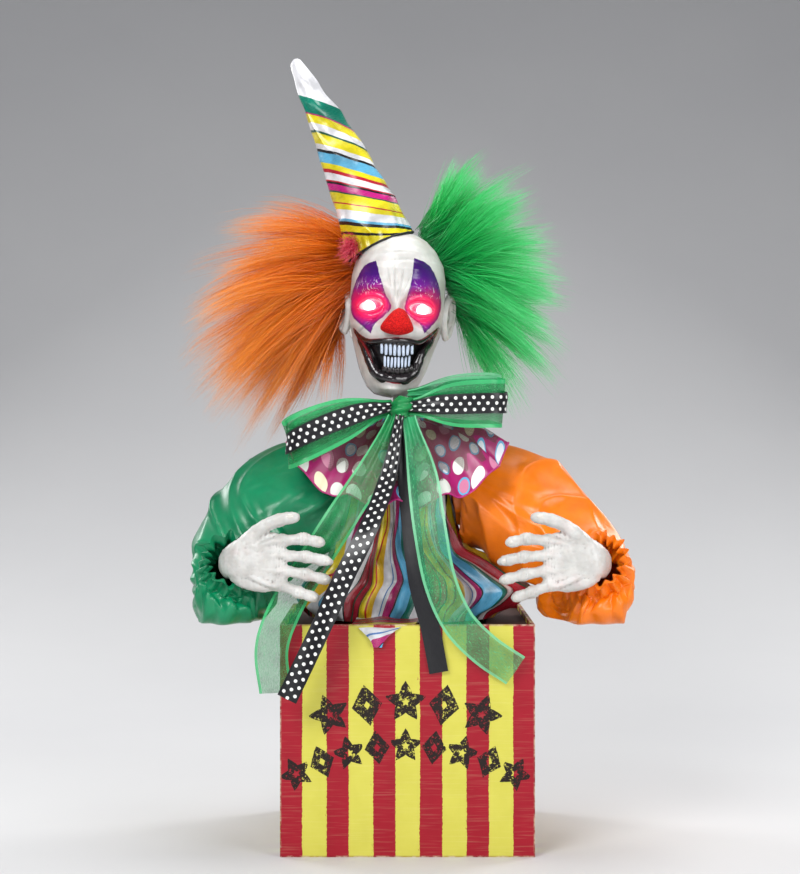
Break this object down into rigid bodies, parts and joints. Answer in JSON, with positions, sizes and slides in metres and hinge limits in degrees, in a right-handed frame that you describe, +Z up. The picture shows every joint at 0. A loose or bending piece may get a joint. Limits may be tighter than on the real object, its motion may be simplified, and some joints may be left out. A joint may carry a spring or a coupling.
{
  "type": "animated clown jack-in-the-box",
  "caption": "Striped square box with a clown half-figure on a geared, sprung lift: rocking head, flapping arms, satin sleeves, bow, fur hair and a leaning cone hat.",
  "frame": {"origin": "centre of the box's underside", "axes": "+Z up, -Y is the front with the clown's face, +X is to the right as seen from the front"},
  "size_m": [0.3859, 0.2346, 0.654],
  "materials": {
    "printed_card": "satin",
    "inner_card": "matte",
    "black_plastic": "satin",
    "white_plastic": "satin",
    "steel": "satin",
    "circuit_board": "satin",
    "battery_label": "gloss",
    "black_rubber": "matte",
    "striped_satin": "satin",
    "green_satin": "satin",
    "orange_satin": "satin",
    "dotted_collar": "matte",
    "green_organza": "satin",
    "dotted_ribbon": "satin",
    "vinyl_skin": "satin",
    "mouth_black": "gloss",
    "red_foam": "matte",
    "eye_glow": "gloss",
    "orange_fur": "matte",
    "green_fur": "matte"
  },
  "bodies": {
    "box": {"front_panel": "printed_card", "left_panel": "printed_card", "right_panel": "printed_card", "back_panel": "printed_card", "base_panel": "inner_card", "top_panel": "inner_card", "shirt_hem": "striped_satin", "battery_case": "black_plastic", "battery_1": "battery_label", "battery_2": "battery_label", "battery_3": "battery_label", "switch_housing": "black_plastic", "speaker": "black_plastic", "circuit_board": "circuit_board", "chassis_base": "black_plastic", "front_frame": "black_plastic", "rear_frame": "black_plastic", "upper_guide": "black_plastic", "guide_rod": "steel", "lift_spring": "steel", "drive_motor": "steel", "battery_lead": "black_rubber", "motor_lead": "black_rubber"},
    "battery_door": {"battery_door": "black_plastic"},
    "switch_knob": {"switch_knob": "white_plastic"},
    "output_gear": {"output_gear": "white_plastic"},
    "idler_gear": {"idler_gear": "white_plastic"},
    "motor_pinion": {"motor_pinion": "steel"},
    "torso": {"lift_carriage": "white_plastic", "lift_post": "white_plastic", "shoulder_bar": "white_plastic", "neck_pin": "steel", "shirt_body": "striped_satin", "collar": "dotted_collar", "bow_knot": "green_organza", "organza_loop_left": "green_organza", "organza_loop_right": "green_organza", "dotted_loop_left": "dotted_ribbon", "dotted_loop_right": "dotted_ribbon", "dotted_tail": "dotted_ribbon", "organza_tail_left": "green_organza", "black_tail": "dotted_ribbon", "organza_tail_right": "green_organza"},
    "head": {"head_stem": "white_plastic", "face_shell": "vinyl_skin", "rear_shell": "vinyl_skin", "mouth_insert": "mouth_black", "eye_unit": "eye_glow", "nose": "red_foam", "hat": "striped_satin", "orange_hair": "orange_fur", "green_hair": "green_fur"},
    "left_arm": {"left_arm_wire": "steel", "green_sleeve": "green_satin", "left_hand": "vinyl_skin"},
    "right_arm": {"right_arm_wire": "steel", "orange_sleeve": "orange_satin", "right_hand": "vinyl_skin"}
  },
  "joints": [
    {"name": "torso_lift", "type": "slide", "parent": "box", "child": "torso", "axis": [0, 0, 1], "range_m": [-0.02, 0.025], "deforming": ["lift_spring"]},
    {"name": "output_gear_turn", "type": "hinge", "parent": "box", "child": "output_gear", "pos_m": [0.012, 0, 0.095], "axis": [0, 1, 0], "range_deg": [-96, 120]},
    {"name": "idler_gear_turn", "type": "hinge", "parent": "box", "child": "idler_gear", "pos_m": [0.02887, 0, 0.07489], "axis": [0, 1, 0], "range_deg": [-383, 306]},
    {"name": "motor_pinion_turn", "type": "hinge", "parent": "box", "child": "motor_pinion", "pos_m": [0.033, 0, 0.0515], "axis": [0, 1, 0], "range_deg": [-856, 1070]},
    {"name": "head_rock", "type": "hinge", "parent": "torso", "child": "head", "pos_m": [-0.006, 0, 0.378], "axis": [0, 1, 0], "range_deg": [-10, 10]},
    {"name": "left_arm_flap", "type": "hinge", "parent": "torso", "child": "left_arm", "pos_m": [-0.048, 0, 0.322], "axis": [0, 1, 0], "range_deg": [-2, 18]},
    {"name": "right_arm_flap", "type": "hinge", "parent": "torso", "child": "right_arm", "pos_m": [0.036, 0, 0.322], "axis": [0, -1, 0], "range_deg": [-2, 18]},
    {"name": "battery_door_hinge", "type": "hinge", "parent": "box", "child": "battery_door", "pos_m": [0, 0.1002, 0.028], "axis": [-1, 0, 0], "range_deg": [0, 100]},
    {"name": "switch_slide", "type": "slide", "parent": "box", "child": "switch_knob", "axis": [1, 0, 0], "range_m": [-0.004, 0.004]}
  ],
  "couplings": [
    {"joint": "output_gear_turn", "follows": "torso_lift", "rad_per_m": 83.333},
    {"joint": "idler_gear_turn", "follows": "torso_lift", "rad_per_m": -266.67},
    {"joint": "motor_pinion_turn", "follows": "torso_lift", "rad_per_m": 746.67}
  ]
}
